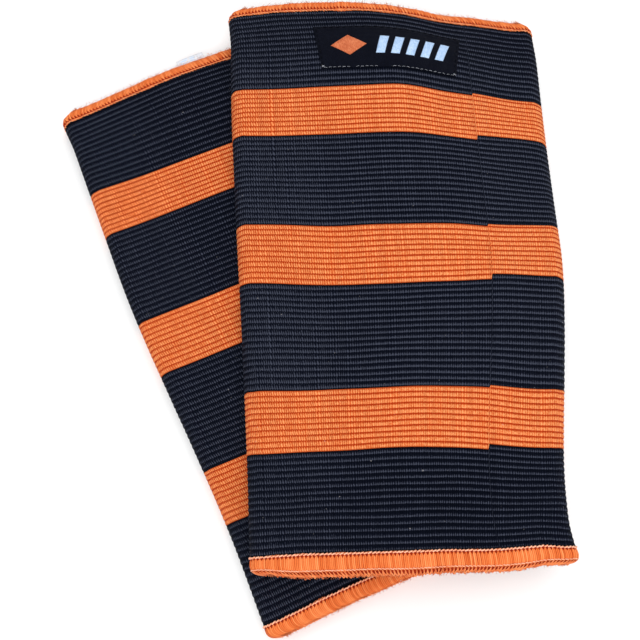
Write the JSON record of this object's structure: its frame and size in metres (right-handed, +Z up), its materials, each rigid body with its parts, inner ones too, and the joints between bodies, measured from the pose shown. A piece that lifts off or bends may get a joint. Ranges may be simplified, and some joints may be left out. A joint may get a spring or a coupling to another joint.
{
  "type": "elbow sleeve pair",
  "caption": "Pair of striped ribbed elastic elbow sleeves with overlocked hems, lying flat with one laid across the other; the upper one lifts off and bends.",
  "frame": {"origin": "under the middle of the pair's box, on the surface it lies on", "axes": "+Y along the front sleeve towards its upper-arm end, +Z up off the surface, +X to the right seen from above"},
  "size_m": [0.224, 0.279, 0.0342],
  "materials": {
    "black_knit": "matt ribbed knit, slightly blue black",
    "orange_knit": "matt ribbed knit, bright orange",
    "orange_thread": "soft sheen overlock thread, orange",
    "label_satin": "satin woven tape, black",
    "label_stitch": "sewing thread, dark grey",
    "emblem_thread": "embroidery thread, orange",
    "pale_blue_thread": "embroidery thread, pale blue",
    "care_tape": "smooth printed nylon tape, white"
  },
  "bodies": {
    "rear_sleeve": {"rear_black_band_4": "black_knit", "rear_orange_band_3": "orange_knit", "rear_black_band_3": "black_knit", "rear_orange_band_2": "orange_knit", "rear_black_band_2": "black_knit", "rear_orange_band_1": "orange_knit", "rear_black_band_1": "black_knit", "rear_lower_needle_row": "orange_thread", "rear_lower_hem": "orange_thread", "rear_upper_needle_row": "orange_thread", "rear_upper_hem": "orange_thread", "rear_care_label": "care_tape"},
    "front_sleeve_lower": {"front_lower_hem": "orange_thread", "front_lower_needle_row": "orange_thread", "front_black_band_4": "black_knit", "front_orange_band_3": "orange_knit", "front_black_band_3": "black_knit"},
    "front_sleeve_upper": {"front_orange_band_2": "orange_knit", "front_black_band_2": "black_knit", "front_orange_band_1": "orange_knit", "front_black_band_1": "black_knit", "front_upper_needle_row": "orange_thread", "front_upper_hem": "orange_thread", "woven_label": "label_satin", "label_stitching": "label_stitch", "label_emblem": "emblem_thread", "label_bar_1": "pale_blue_thread", "label_bar_2": "pale_blue_thread", "label_bar_3": "pale_blue_thread", "label_bar_4": "pale_blue_thread", "label_bar_5": "pale_blue_thread"}
  },
  "joints": [
    {"name": "front_lift", "type": "slide", "parent": "rear_sleeve", "child": "front_sleeve_lower", "axis": [0, 0, 1], "range_m": [0, 0.12]},
    {"name": "front_bend", "type": "hinge", "parent": "front_sleeve_lower", "child": "front_sleeve_upper", "pos_m": [0.03901, -0.00389, 0.0324], "axis": [0.9994, 0.0336, 0], "range_deg": [0, 100]}
  ]
}
